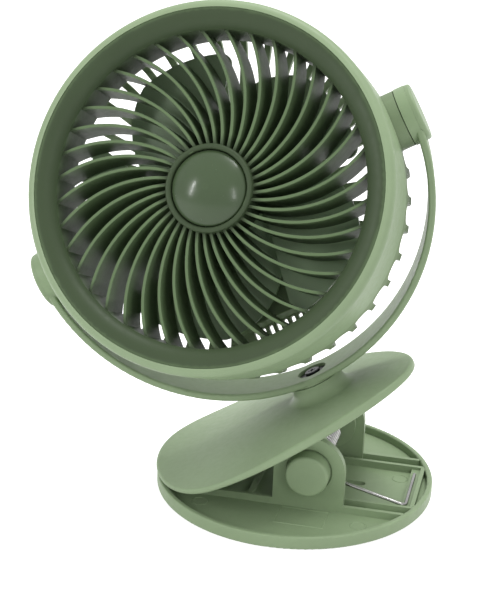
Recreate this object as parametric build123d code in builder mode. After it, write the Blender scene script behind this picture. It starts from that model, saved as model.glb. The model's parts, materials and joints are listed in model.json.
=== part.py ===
"""Clip-on drum fan: oval spring clip, swivelling U yoke, tilting drum head, impeller and rear case.

Millimetres, +Z up.  +X runs along the clip towards its handles, +Y points away from the
viewer of the fan's face.  The origin is the centre of the lower clip plate's underside.
The pose is the closed clip lying flat, with the yoke swivelled a little and the head tilted up.
"""
import os
from math import acos, asin, atan2, cos, degrees, hypot, pi, radians, sin, sqrt

from build123d import *

os.makedirs("parts", exist_ok=True)

# ---------------------------------------------------------------- fits
RUNNING_FIT = 0.05          # radial play of a turning journal
SEAT_FIT = 0.02             # radial play of a piece pressed or dropped into its seat
MOVING_GAP = 0.3            # air between faces that pass each other
FACE_GAP = 0.15             # air under a washer or collar

# ---------------------------------------------------------------- lower clip plate
TRAY_RADIUS = 54.6
TRAY_RIM_HEIGHT = 5.4
TRAY_RIM_WIDTH = 2.2
TRAY_FLOOR = 2.2
TRAY_EDGE_ROUND = 1.1
TRAY_TOP_ROUND = 0.65
RIB_HEIGHT = 5.0            # top of the stiffening ribs above the underside
RIB_THICKNESS = 1.6
RIB_ROOT = 0.5              # how far the ribs reach into the rim
CHANNEL_HALF_WIDTH = 17.5   # inner face of the ribs beside the spring leg
CHANNEL_END_X = 48.4        # inner face of the wall that ends the spring channel
CROSS_WEB_X = -13.0
SLOT_LENGTH = 9.0
SLOT_WIDTH = 3.2
SLOT_Y = 2.0

# ---------------------------------------------------------------- clip hinge
HINGE_X = 10.0
HINGE_Z = 18.4
EAR_SPAN = 49.0             # over the outer faces of the lower ears
EAR_THICKNESS = 3.0
EAR_RADIUS = 13.8
UPPER_EAR_THICKNESS = 2.6
UPPER_EAR_RADIUS = 10.5
PIN_RADIUS = 2.0
PIN_CHAMFER = 0.3
PIN_END_DEPTH = 3.0         # how far the pin reaches into each cap
HINGE_CAP_RADIUS = 8.3
HINGE_CAP_HEIGHT = 6.0
HINGE_CAP_ROUND = 1.1
CAP_RECESS_DEPTH = 0.8
CAP_RECESS_GAP = 0.6

# ---------------------------------------------------------------- clip spring
WIRE = 1.3
COIL_RADIUS = 5.6           # to the middle of the wire
COIL_PITCH = 2.15
COIL_TURNS = 11
COIL_NEAR_Y = -13.6
SLEEVE_GAP = 0.3
LEG_END_X = 46.6
LEG_END_Z = 4.6
LEG_BEND = 2.0
CROSSBAR_LENGTH = 27.0
UPPER_LEG_REACH = 16.0      # how far from the hinge axis the short upper leg ends
SEAT_BAR_WIDTH = 3.6        # raised bar under the spring's crossbar

# ---------------------------------------------------------------- upper clip plate
PLATE_ANGLE = 30.4          # slope of the upper plate with the jaws closed
PLATE_HALF_LENGTH = 55.2
PLATE_HALF_WIDTH = 46.1
PLATE_TAPER = 0.25          # share by which the outline narrows towards the handle end
PLATE_SHIFT = -6.8          # middle of the plate, measured along it from the hinge
PLATE_UNDER = 13.9          # flat of the underside above the hinge axis
PLATE_EDGE = 2.8            # thickness at the rim
PLATE_DOME = 4.0            # the top stands this much higher in the middle than at the rim
PLATE_BEND_START = -30.0    # from here to the tip the plate bends up onto the tray's rim
PLATE_BEND_RADIUS = 71.0
PLATE_TOP_ROUND = 1.1
PLATE_EDGE_ROUND = 0.8
PLATE_HOLLOW = 2.8          # depth of the hollow under the plate
PLATE_MARGIN = 12.0         # solid border around that hollow

# ---------------------------------------------------------------- swivel between clip and yoke
CLIP_ANGLE = 28.3           # lean of the swivel axis from upright with the jaws closed
SWIVEL_SHIFT = 10.0         # swivel axis ahead of the hinge, square to itself
SWIVEL_ANGLE = 9.0          # how far the yoke is turned
PEDESTAL_RADIUS = 10.4
PEDESTAL_HEIGHT = 5.5       # above the crown of the plate
PEDESTAL_FLARE = 4.2
SPIGOT_RADIUS = 4.0
SWIVEL_WASHER_RADIUS = 5.6
SWIVEL_WASHER_THICKNESS = 0.5
SWIVEL_RECESS = 1.7         # sunk seat of the washer in the yoke
SCREW_RADIUS = 1.5
SCREW_HEAD_RADIUS = 3.0
SCREW_HEAD_HEIGHT = 1.2
SCREW_HEAD_ROUND = 0.4
SCREW_CROSS_WIDTH = 0.7
SCREW_LENGTH = 8.0

# ---------------------------------------------------------------- yoke
SWING_ROOM = 0.8            # between the yoke and the rim of the drum swinging past it
YOKE_THICKNESS = 2.8
YOKE_WIDTH = 20.0
YOKE_EDGE_ROUND = 0.9
YOKE_PAD = 0.2              # flat pad under the yoke, where it meets the pedestal
ARM_DISC_RADIUS = 11.1
ARM_DISC_THICKNESS = 4.2
ARM_RECESS_RADIUS = 6.2
ARM_RECESS_DEPTH = 1.5
PIVOT_CAP_RADIUS = 10.9
PIVOT_CAP_HEIGHT = 2.1
PIVOT_CAP_SKIN = 1.3
PIVOT_CAP_ROUND = 1.0
SPIGOT_PIVOT_RADIUS = 4.0
PIVOT_WASHER_RADIUS = 5.4
PIVOT_WASHER_THICKNESS = 0.6
PIVOT_SCREW_HEAD_RADIUS = 3.4

# ---------------------------------------------------------------- drum head
HEAD_TILT = 22.9            # how far the face looks up out of the yoke's plane
DRUM_RADIUS = 68.8
DRUM_WALL = 2.4
DRUM_FRONT = 31.0           # front rim ahead of the pivot axis
DRUM_REAR = 5.0             # rear edge of the front shell
DRUM_ROUND = 3.2
RING_FIT = 0.1
BOSS_RADIUS = 10.9
REAR_FACE = -19.0
REAR_CORNER = 10.0
REAR_WALL = 2.2
REAR_STEP = 0.4             # the rear case is this much smaller in radius than the shell
LIP_LENGTH = 3.0            # how far the rear case's locating lip reaches into the shell
LIP_ROOT = 3.6
LIP_THICKNESS = 1.8
RIB_COUNT = 40
RIB_START = 3.0             # bearing of the first rib
REAR_RIB_WIDTH = 2.5
SLOT_INNER_RADIUS = 27.0
SLOT_LOWER_RADIUS = 56.5    # inner end of the slots below the electronics
SLOT_SIDE_END = 0.0         # the slots wrap round the corner up to here
VENT_COUNT = 9
VENT_PITCH = 3.1
VENT_WIDTH = 1.6
VENT_LENGTH = 5.0
VENT_Y = -51.0

# ---------------------------------------------------------------- front grille
VANE_COUNT = 40
VANE_THICKNESS = 1.1
VANE_DEPTH = 16.6
VANE_SINK = 1.2             # vane fronts lie this far behind the lip
VANE_OUT_ANGLE = 38.0       # lean of the vanes off the radius at the lip
VANE_START = 5.8            # bearing from which the vanes are counted
LIP_RADIUS = 58.3
LIP_Z = 26.3
HUB_RING_RADIUS = 16.4
HUB_RING_INNER = 14.3
HUB_RING_Z = 27.0
HUB_RING_ROUND = 0.9
HUB_FLOOR = 2.0
HUB_DEPTH = 7.0             # of the cup that holds the centre cap
DUCT_THICKNESS = 1.5
RING_THICKNESS = 1.6
RING_BULGE = 1.3            # the ring's front bulges this much off a straight cone
RING_SINK = 0.3             # the ring's outer edge lies this far behind the drum's rim
RING_SKIRT = 7.0
HUB_CAP_DOME = 5.0
HUB_CAP_EDGE = 1.2          # the dome starts this far below the ring
HUB_CAP_WALL = 1.6

# ---------------------------------------------------------------- impeller and motor
BLADE_COUNT = 5
BLADE_RADIUS = 53.8
BLADE_THICKNESS = 1.5
BLADE_CAMBER = 1.6
BLADE_CORNER = 4.0
BLADE_TURN = 35.0           # bearing of the first blade
LEAD_ROOT = 63.0            # its swept edge, as bearings off the blade's own
LEAD_MIDDLE = 18.0
LEAD_TIP = -2.5
LEAD_MIDDLE_RADIUS = 44.8
TRAIL_ROOT = -1.0           # its straight edge
TRAIL_TIP = -44.5
IMPELLER_REAR = -2.4
IMPELLER_FRONT = 7.6
IMPELLER_HUB_RADIUS = 15.5
IMPELLER_HUB_WALL = 1.6
IMPELLER_BOSS_RADIUS = 3.5
IMPELLER_BOSS_LENGTH = 10.4
SHAFT_RADIUS = 1.0
SHAFT_COVER = 1.2           # left in front of the shaft's end
MOTOR_RADIUS = 12.0
MOTOR_LENGTH = 12.4
MOTOR_WALL = 0.8
BUSH_RADIUS = 3.0
BUSH_LENGTH = 1.6
BUSH_PROUD = 0.4            # front bush stands this far out of the can
ROTOR_RADIUS = 9.0
ROTOR_LENGTH = 8.4
COLLAR_WALL = 1.6
COLLAR_HEIGHT = 6.0
LUG_COUNT = 3
LUG_START = 90.0
LUG_CIRCLE = 17.2           # radius on which the lug screws stand
LUG_RADIUS = 2.6
LUG_RISE = 3.0              # height of the bosses under the lugs
LUG_THICKNESS = 1.6
LUG_SCREW_RADIUS = 1.0
LUG_SCREW_LENGTH = 5.2
LUG_HEAD_RADIUS = 2.0
LUG_HEAD_HEIGHT = 1.2

# ---------------------------------------------------------------- electronics in the rear case
BOX_HALF_WIDTH = 21.0
BOX_TOP_Y = -17.2
BOX_BOTTOM_Y = -48.0
BOX_DEPTH = 13.0
BOX_WALL = 1.5
BOX_CORNER = 3.0
BOX_PAD = 1.2               # unslotted border of the case round the box
BOX_SCREW_Y = -31.0
BOX_BOSS_RADIUS = 2.8
BOX_CUP_RADIUS = 4.6
BOX_SCREW_HEAD_RADIUS = 2.75
BOX_SCREW_HEAD_HEIGHT = 1.7
BOX_SCREW_SINK = 1.6
BOX_SCREW_RADIUS = 1.25
BOX_SCREW_LENGTH = 8.0
BOARD_STAND = 3.4           # board above the inside of the back
BOARD_THICKNESS = 1.4
BOARD_GAP = 0.4             # between the board's edge and the box
POST_RADIUS = 1.5
POST_INSET = 3.0            # board posts, in from the board's corners
CELL_THICKNESS = 6.4
CELL_WIDTH = 13.6
CELL_HEIGHT = 26.4
CELL_ROUND = 1.5
BUTTON_Y = -23.5
BUTTON_RADIUS = 3.7
BUTTON_PROUD = 1.2
BUTTON_FLANGE = 0.9
BUTTON_FLANGE_EDGE = 0.8
BUTTON_ROUND = 0.6
BUTTON_TRAVEL = 0.6
SWITCH_SIZE = 6.0
SWITCH_HEIGHT = 1.6
SWITCH_PIP_RADIUS = 1.6
LIGHT_COUNT = 4
LIGHT_PITCH = 4.0
LIGHT_RADIUS = 1.0
LIGHT_LENGTH = 5.2
LIGHT_Y = -37.5
SOCKET_Y = -43.0
SOCKET_WIDTH = 9.0
SOCKET_HEIGHT = 3.3
SOCKET_WALL = 0.4
SOCKET_TONGUE = 0.7
SOCKET_SET_BACK = 0.3
SOCKET_OPENING_GAP = 0.2

# ---------------------------------------------------------------- frames
ZERO = Vector(0, 0, 0)
Y_UP = Vector(0, 1, 0)
swing_radius = hypot(DRUM_RADIUS - DRUM_ROUND, DRUM_FRONT - DRUM_ROUND) + DRUM_ROUND
yoke_radius = swing_radius + SWING_ROOM + YOKE_THICKNESS
plate_top = PLATE_UNDER + PLATE_EDGE + PLATE_DOME
pedestal_top = plate_top + PEDESTAL_HEIGHT
pivot_height = pedestal_top + FACE_GAP + YOKE_PAD + yoke_radius

clip_slope = radians(CLIP_ANGLE)
along = Vector(cos(clip_slope), 0, sin(clip_slope))
square = Vector(-sin(clip_slope), 0, cos(clip_slope))
plate_slope = radians(PLATE_ANGLE)
plate_along = Vector(cos(plate_slope), 0, sin(plate_slope))
plate_square = Vector(-sin(plate_slope), 0, cos(plate_slope))
hinge = Vector(HINGE_X, 0, HINGE_Z)
plate = Plane(origin=hinge, x_dir=plate_along, z_dir=plate_square)

turn = radians(SWIVEL_ANGLE)
pivot_dir = along * cos(turn) + Y_UP * sin(turn)
yoke_dir = pivot_dir.cross(square)
pivot = hinge + along * SWIVEL_SHIFT + square * pivot_height
yoke_frame = Plane(origin=pivot, x_dir=pivot_dir, z_dir=yoke_dir)
foot = Plane(origin=hinge + along * SWIVEL_SHIFT, x_dir=pivot_dir, z_dir=square)

tilt = radians(HEAD_TILT)
face_dir = yoke_dir * cos(tilt) + square * sin(tilt)
up_dir = face_dir.cross(pivot_dir)
head = Plane(origin=pivot, x_dir=pivot_dir, z_dir=face_dir)
head_section = Plane(origin=pivot, x_dir=pivot_dir, z_dir=up_dir * -1)
head_axis = Axis(pivot, face_dir)


def clip_side(y, origin=ZERO):
    """Plane square to the hinge axis at y, in world axes."""
    return Plane(origin=(origin.X, y, origin.Z), x_dir=(1, 0, 0), z_dir=(0, -1, 0))


def plate_side(y):
    """Plane square to the hinge axis at y, with x along the upper plate."""
    return Plane(origin=(HINGE_X, y, HINGE_Z), x_dir=plate_along, z_dir=(0, -1, 0))


def pivot_plane(distance, side):
    """Plane square to the pivot axis, facing outwards on the given side."""
    normal = pivot_dir * side
    return Plane(origin=pivot + normal * distance, x_dir=square, z_dir=normal)


def polar(radius, bearing):
    """Point of a sketch at a radius and a bearing in degrees."""
    return (radius * cos(radians(bearing)), radius * sin(radians(bearing)))


def save(builder, name):
    builder.part.label = name
    export_step(builder.part, f"parts/{name}.step")


# ================================================================ lower clip plate
ear_outer = EAR_SPAN / 2
ear_inner = ear_outer - EAR_THICKNESS
tray_inner = TRAY_RADIUS - TRAY_RIM_WIDTH
rib_rise = RIB_HEIGHT - TRAY_FLOOR
side_rib_length = 2 * (sqrt(tray_inner**2 - ear_outer**2) + RIB_ROOT)
channel_start = HINGE_X - EAR_RADIUS
channel_length = CHANNEL_END_X - channel_start + RIB_THICKNESS / 2

with BuildPart() as lower_jaw:
    with BuildSketch():
        Circle(TRAY_RADIUS)
    extrude(amount=TRAY_RIM_HEIGHT)
    fillet(lower_jaw.faces().sort_by(Axis.Z)[0].edges(), TRAY_EDGE_ROUND)
    with BuildSketch(Plane.XY.offset(TRAY_FLOOR)):
        Circle(tray_inner)
    extrude(amount=TRAY_RIM_HEIGHT, mode=Mode.SUBTRACT)
    fillet(lower_jaw.faces().sort_by(Axis.Z)[-1].edges(), TRAY_TOP_ROUND)
    with BuildSketch(Plane.XY.offset(TRAY_FLOOR)):
        for side in (-1, 1):
            with Locations((0, side * (ear_outer - RIB_THICKNESS / 2))):
                Rectangle(side_rib_length, RIB_THICKNESS)
            with Locations((channel_start + channel_length / 2, side * CHANNEL_HALF_WIDTH)):
                Rectangle(channel_length, RIB_THICKNESS)
        with Locations((CHANNEL_END_X + RIB_THICKNESS / 2, 0)):
            Rectangle(RIB_THICKNESS, 2 * CHANNEL_HALF_WIDTH + RIB_THICKNESS)
        with Locations((CROSS_WEB_X, 0)):
            Rectangle(RIB_THICKNESS, EAR_SPAN - RIB_THICKNESS)
    extrude(amount=rib_rise)
    with BuildSketch(Plane.XY.offset(TRAY_FLOOR)):
        with Locations((CHANNEL_END_X - SEAT_BAR_WIDTH / 2, 0)):
            Rectangle(SEAT_BAR_WIDTH, 2 * CHANNEL_HALF_WIDTH)
    extrude(amount=LEG_END_Z - WIRE / 2 - SEAT_FIT - TRAY_FLOOR)
    for side in (-1, 1):
        outer_y = side * ear_outer
        with BuildSketch(clip_side(outer_y)):
            with Locations((HINGE_X, HINGE_Z)):
                Circle(EAR_RADIUS)
            with Locations((HINGE_X, (HINGE_Z + TRAY_FLOOR) / 2)):
                Rectangle(2 * EAR_RADIUS, HINGE_Z - TRAY_FLOOR)
        extrude(amount=side * EAR_THICKNESS)
        with BuildSketch(clip_side(outer_y)):
            with Locations((HINGE_X, HINGE_Z)):
                Circle(HINGE_CAP_RADIUS + CAP_RECESS_GAP)
        extrude(amount=side * CAP_RECESS_DEPTH, mode=Mode.SUBTRACT)
        with BuildSketch(clip_side(outer_y)):
            with Locations((HINGE_X, HINGE_Z)):
                Circle(PIN_RADIUS + SEAT_FIT)
        extrude(amount=side * EAR_THICKNESS, mode=Mode.SUBTRACT)
    with BuildSketch():
        with Locations((HINGE_X + EAR_RADIUS, SLOT_Y)):
            SlotOverall(SLOT_LENGTH, SLOT_WIDTH)
    extrude(amount=TRAY_FLOOR, mode=Mode.SUBTRACT)
save(lower_jaw, "lower_jaw")

# ================================================================ hinge pin, caps and sleeve
pin_half = ear_outer - CAP_RECESS_DEPTH + PIN_END_DEPTH
with BuildPart() as hinge_pin:
    with BuildSketch(clip_side(-pin_half, hinge)):
        Circle(PIN_RADIUS)
    extrude(amount=-2 * pin_half)
    chamfer(hinge_pin.edges().filter_by(GeomType.CIRCLE), PIN_CHAMFER)
save(hinge_pin, "hinge_pin")

cap_seat = ear_outer - CAP_RECESS_DEPTH
with BuildPart() as hinge_caps:
    for side in (-1, 1):
        with BuildSketch(clip_side(side * cap_seat, hinge)):
            Circle(HINGE_CAP_RADIUS)
        extrude(amount=-side * (HINGE_CAP_HEIGHT + CAP_RECESS_DEPTH))
        with BuildSketch(clip_side(side * cap_seat, hinge)):
            Circle(PIN_RADIUS + SEAT_FIT)
        extrude(amount=-side * (PIN_END_DEPTH + SEAT_FIT), mode=Mode.SUBTRACT)
    cap_rims = hinge_caps.faces().filter_by(Axis.Y).sort_by(Axis.Y)
    fillet(cap_rims[0].edges() + cap_rims[-1].edges(), HINGE_CAP_ROUND)
save(hinge_caps, "hinge_caps")

upper_ear_outer = ear_inner - MOVING_GAP
upper_ear_inner = upper_ear_outer - UPPER_EAR_THICKNESS
sleeve_half = upper_ear_inner - MOVING_GAP
sleeve_radius = COIL_RADIUS - WIRE / 2 - SLEEVE_GAP
with BuildPart() as spring_sleeve:
    with BuildSketch(clip_side(-sleeve_half, hinge)):
        Circle(sleeve_radius)
        Circle(PIN_RADIUS + SEAT_FIT, mode=Mode.SUBTRACT)
    extrude(amount=-2 * sleeve_half)
save(spring_sleeve, "spring_sleeve")

# ================================================================ torsion spring
# One wire: crossbar, long lower leg, coil from the near end to the far end, short upper leg.
leg_end = Vector(LEG_END_X, 0, LEG_END_Z) - hinge
leg_distance = leg_end.length
start_angle = atan2(leg_end.Z, leg_end.X) - acos(COIL_RADIUS / leg_distance)
upper_leg_angle = plate_slope + pi / 2
end_angle = upper_leg_angle + acos(COIL_RADIUS / UPPER_LEG_REACH) - 2 * pi
coil_sweep = 2 * pi * COIL_TURNS + (start_angle - end_angle)
coil_pieces = round(coil_sweep / pi)
coil_climb = COIL_PITCH / (2 * pi)


def coil_point(travel):
    angle = start_angle - travel
    x = HINGE_X + COIL_RADIUS * cos(angle)
    z = HINGE_Z + COIL_RADIUS * sin(angle)
    return Vector(x, COIL_NEAR_Y + coil_climb * travel, z)


def coil_tangent(travel):
    angle = start_angle - travel
    return Vector(COIL_RADIUS * sin(angle), coil_climb, -COIL_RADIUS * cos(angle)).normalized()


def biarc(p0, t0, p1, t1):
    """Joint and joint tangent of the two equal-armed arcs from p0 to p1."""
    chord = p1 - p0
    a = 2 * (t0.dot(t1) - 1)
    b = -2 * chord.dot(t0 + t1)
    c = chord.dot(chord)
    arm = (-b - sqrt(b * b - 4 * a * c)) / (2 * a)
    first = p0 + t0 * arm
    second = p1 - t1 * arm
    return (first + second) * 0.5, (second - first).normalized()


leg_length = sqrt(leg_distance**2 - COIL_RADIUS**2)
leg_corner = coil_point(0) - coil_tangent(0) * leg_length
bar_end = leg_corner + Y_UP * CROSSBAR_LENGTH
upper_leg_length = sqrt(UPPER_LEG_REACH**2 - COIL_RADIUS**2)

with BuildPart() as clip_spring:
    with BuildLine() as spring_path:
        FilletPolyline(bar_end, leg_corner, coil_point(0), radius=LEG_BEND)
        for piece in range(coil_pieces):
            t0 = coil_sweep * piece / coil_pieces
            t1 = coil_sweep * (piece + 1) / coil_pieces
            joint, joint_tangent = biarc(
                coil_point(t0), coil_tangent(t0), coil_point(t1), coil_tangent(t1)
            )
            TangentArc(coil_point(t0), joint, tangent=coil_tangent(t0))
            TangentArc(joint, coil_point(t1), tangent=joint_tangent)
        coil_end = coil_point(coil_sweep)
        Line(coil_end, coil_end + coil_tangent(coil_sweep) * upper_leg_length)
    with BuildSketch(Plane(origin=bar_end, z_dir=(0, -1, 0))):
        Circle(WIRE / 2)
    sweep(path=spring_path.wire())
save(clip_spring, "clip_spring")

sample_count = 1600
path_length = spring_path.wire().length
samples = [spring_path.wire() @ (i / sample_count) for i in range(sample_count + 1)]
half_turn = int(pi * COIL_RADIUS * sample_count / path_length)
least = min(
    (samples[i] - samples[j]).length
    for i in range(0, sample_count, 4)
    for j in range(i + half_turn, sample_count, 2)
)
print("spring wire length", round(path_length, 1), "least gap between turns", round(least - WIRE, 2))

# ================================================================ upper clip plate
plate_left = PLATE_SHIFT - PLATE_HALF_LENGTH
plate_right = PLATE_SHIFT + PLATE_HALF_LENGTH
plate_spare = 3.0           # the cutting shapes reach this far past the plate
cut_left = plate_left - plate_spare
cut_right = plate_right + plate_spare
yoke_floor = pivot_height - yoke_radius + YOKE_THICKNESS - SWIVEL_RECESS
spigot_top = yoke_floor + FACE_GAP


def bend_rise(x):
    """How far the bend has lifted the plate at x."""
    run = max(0.0, PLATE_BEND_START - x)
    return PLATE_BEND_RADIUS - sqrt(PLATE_BEND_RADIUS**2 - run**2)


def top_height(x):
    """Height of the plate's top along its middle line."""
    fall = PLATE_DOME * ((x - PLATE_SHIFT) / PLATE_HALF_LENGTH) ** 2
    return plate_top - fall + bend_rise(x)


def plate_outline(inset):
    """Points round the plate, drawn in from its edge by the inset."""
    points = []
    for step in range(24):
        bearing = radians(step * 360 / 24)
        x = PLATE_SHIFT + (PLATE_HALF_LENGTH - inset) * cos(bearing)
        taper = 1 - PLATE_TAPER * cos(bearing)
        points.append((x, (PLATE_HALF_WIDTH - inset) * sin(bearing) * taper))
    return points


bend_middle = (PLATE_BEND_START + cut_left) / 2
under_rises = [(x, PLATE_UNDER + bend_rise(x)) for x in (PLATE_BEND_START, bend_middle, cut_left)]
top_stations = [cut_left + (cut_right - cut_left) * step / 6 for step in range(7)]
crown_width = PLATE_HALF_WIDTH + plate_spare
crown_fall = PLATE_DOME * (crown_width / PLATE_HALF_WIDTH) ** 2
crown_depth = 3 * PLATE_DOME

with BuildPart() as upper_jaw:
    # top: a crowned section carried along the plate
    with BuildLine(plate_side(0)) as top_line:
        Spline([(x, top_height(x)) for x in top_stations])
    with BuildSketch(Plane(origin=top_line.line @ 0, x_dir=(0, 1, 0), z_dir=top_line.line % 0)):
        with BuildLine():
            ThreePointArc((-crown_width, -crown_fall), (0, 0), (crown_width, -crown_fall))
            Polyline(
                (crown_width, -crown_fall),
                (crown_width, -crown_depth),
                (-crown_width, -crown_depth),
                (-crown_width, -crown_fall),
            )
        make_face()
    sweep(path=top_line.line)
    # underside: flat, then bent up towards the tip
    with BuildSketch(plate_side(0)):
        with BuildLine():
            Line((cut_right, PLATE_UNDER), under_rises[0])
            ThreePointArc(*under_rises)
            Polyline(
                under_rises[-1],
                (cut_left, 3 * plate_top),
                (cut_right, 3 * plate_top),
                (cut_right, PLATE_UNDER),
            )
        make_face()
    extrude(amount=crown_width, both=True, mode=Mode.INTERSECT)
    with BuildSketch(plate):
        with BuildLine():
            Spline(plate_outline(0), periodic=True)
        make_face()
    extrude(amount=3 * plate_top, mode=Mode.INTERSECT)
    rims = upper_jaw.edges().filter_by(
        lambda e: e.length > PLATE_HALF_WIDTH and e.geom_type != GeomType.LINE
    )
    rims = rims.sort_by(lambda e: e.length)
    fillet(rims[-1], PLATE_TOP_ROUND)
    fillet(rims[:-1], PLATE_EDGE_ROUND)
    with BuildSketch(plate):
        with BuildLine():
            Spline(plate_outline(PLATE_MARGIN), periodic=True)
        make_face()
    extrude(amount=PLATE_UNDER + PLATE_HOLLOW, mode=Mode.SUBTRACT)
    for side in (-1, 1):
        with BuildSketch(plate_side(side * upper_ear_outer)):
            ear_top = PLATE_UNDER + PLATE_HOLLOW + UPPER_EAR_THICKNESS / 4
            Circle(UPPER_EAR_RADIUS)
            with Locations((0, ear_top / 2)):
                Rectangle(2 * UPPER_EAR_RADIUS, ear_top)
            Circle(PIN_RADIUS + RUNNING_FIT, mode=Mode.SUBTRACT)
        extrude(amount=side * UPPER_EAR_THICKNESS)
    with BuildSketch(foot.offset(plate_top - PLATE_EDGE)):
        Circle(PEDESTAL_RADIUS)
    extrude(amount=pedestal_top - plate_top + PLATE_EDGE)
    foot_rings = upper_jaw.edges(Select.LAST).filter_by(lambda e: e.length > 6 * PEDESTAL_RADIUS)
    foot_rings = foot_rings.filter_by(
        lambda e: (e.center() - hinge).dot(square) < pedestal_top - PEDESTAL_HEIGHT / 2
    )
    fillet(foot_rings, PEDESTAL_FLARE)
    with BuildSketch(foot.offset(pedestal_top)):
        Circle(SPIGOT_RADIUS)
    extrude(amount=spigot_top - pedestal_top)
    with BuildSketch(foot.offset(spigot_top)):
        Circle(SCREW_RADIUS)
    extrude(amount=-(SCREW_LENGTH + SEAT_FIT), mode=Mode.SUBTRACT)
save(upper_jaw, "upper_jaw")

with BuildPart() as swivel_washer:
    with BuildSketch(foot.offset(spigot_top)):
        Circle(SWIVEL_WASHER_RADIUS)
        Circle(SCREW_RADIUS + SEAT_FIT, mode=Mode.SUBTRACT)
    extrude(amount=SWIVEL_WASHER_THICKNESS)
save(swivel_washer, "swivel_washer")

swivel_screw_seat = spigot_top + SWIVEL_WASHER_THICKNESS
with BuildPart() as swivel_screw:
    with BuildSketch(foot.offset(spigot_top - SCREW_LENGTH)):
        Circle(SCREW_RADIUS)
    extrude(amount=SCREW_LENGTH + SWIVEL_WASHER_THICKNESS)
    with BuildSketch(foot.offset(swivel_screw_seat)):
        Circle(SCREW_HEAD_RADIUS)
    extrude(amount=SCREW_HEAD_HEIGHT)
    fillet(swivel_screw.faces().sort_by(Axis(hinge, square))[-1].edges(), SCREW_HEAD_ROUND)
    with BuildSketch(foot.offset(swivel_screw_seat + SCREW_HEAD_HEIGHT)):
        Rectangle(SCREW_HEAD_RADIUS, SCREW_CROSS_WIDTH)
        Rectangle(SCREW_CROSS_WIDTH, SCREW_HEAD_RADIUS)
    extrude(amount=-SCREW_HEAD_HEIGHT / 2, mode=Mode.SUBTRACT)
save(swivel_screw, "swivel_screw")

# ================================================================ yoke
arm_outer = sqrt(yoke_radius**2 - ARM_DISC_RADIUS**2)
arm_inner = arm_outer - ARM_DISC_THICKNESS
with BuildPart() as yoke:
    with BuildSketch(yoke_frame):
        Circle(yoke_radius)
        Circle(yoke_radius - YOKE_THICKNESS, mode=Mode.SUBTRACT)
        with Locations((0, yoke_radius)):
            Rectangle(3 * yoke_radius, 2 * yoke_radius, mode=Mode.SUBTRACT)
    extrude(amount=YOKE_WIDTH / 2, both=True)
    fillet(yoke.edges().filter_by(GeomType.CIRCLE), YOKE_EDGE_ROUND)
    for side in (-1, 1):
        with BuildSketch(pivot_plane(arm_outer, side)):
            Circle(ARM_DISC_RADIUS)
        extrude(amount=2 * YOKE_THICKNESS, mode=Mode.SUBTRACT)
        with BuildSketch(pivot_plane(arm_inner, side)):
            Circle(ARM_DISC_RADIUS)
        extrude(amount=ARM_DISC_THICKNESS)
    with BuildSketch(foot.offset(pedestal_top + FACE_GAP)):
        Circle(YOKE_WIDTH / 2)
    extrude(amount=YOKE_PAD + YOKE_THICKNESS)
    with BuildSketch(foot.offset(yoke_floor)):
        Circle(SWIVEL_WASHER_RADIUS + MOVING_GAP)
    extrude(amount=2 * YOKE_THICKNESS, mode=Mode.SUBTRACT)
    with BuildSketch(foot.offset(pedestal_top)):
        Circle(SPIGOT_RADIUS + RUNNING_FIT)
    extrude(amount=2 * YOKE_THICKNESS, mode=Mode.SUBTRACT)
    for side in (-1, 1):
        with BuildSketch(pivot_plane(arm_inner, side)):
            Circle(SPIGOT_PIVOT_RADIUS + RUNNING_FIT)
        extrude(amount=ARM_DISC_THICKNESS, mode=Mode.SUBTRACT)
        with BuildSketch(pivot_plane(arm_outer, side)):
            Circle(ARM_RECESS_RADIUS)
        extrude(amount=-ARM_RECESS_DEPTH, mode=Mode.SUBTRACT)
save(yoke, "yoke")

with BuildPart() as pivot_caps:
    for side in (-1, 1):
        with BuildSketch(pivot_plane(arm_outer, side)):
            Circle(PIVOT_CAP_RADIUS)
        extrude(amount=PIVOT_CAP_HEIGHT)
    cap_faces = pivot_caps.faces().filter_by(GeomType.PLANE).sort_by(Axis(pivot, pivot_dir))
    fillet(cap_faces[0].edges() + cap_faces[-1].edges(), PIVOT_CAP_ROUND)
    for side in (-1, 1):
        with BuildSketch(pivot_plane(arm_outer, side)):
            Circle(ARM_RECESS_RADIUS)
        extrude(amount=PIVOT_CAP_HEIGHT - PIVOT_CAP_SKIN, mode=Mode.SUBTRACT)
save(pivot_caps, "pivot_caps")

# ================================================================ pivot screws and washers
spigot_end = arm_outer - ARM_RECESS_DEPTH + FACE_GAP
washer_face = spigot_end
with BuildPart() as pivot_washers:
    for side in (-1, 1):
        with BuildSketch(pivot_plane(washer_face, side)):
            Circle(PIVOT_WASHER_RADIUS)
            Circle(SCREW_RADIUS + SEAT_FIT, mode=Mode.SUBTRACT)
        extrude(amount=PIVOT_WASHER_THICKNESS)
save(pivot_washers, "pivot_washers")

with BuildPart() as pivot_screws:
    for side in (-1, 1):
        head_seat = washer_face + PIVOT_WASHER_THICKNESS
        with BuildSketch(pivot_plane(head_seat, side)):
            Circle(PIVOT_SCREW_HEAD_RADIUS)
        extrude(amount=SCREW_HEAD_HEIGHT)
        with BuildSketch(pivot_plane(head_seat, side)):
            Circle(SCREW_RADIUS)
        extrude(amount=-SCREW_LENGTH)
save(pivot_screws, "pivot_screws")

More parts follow.
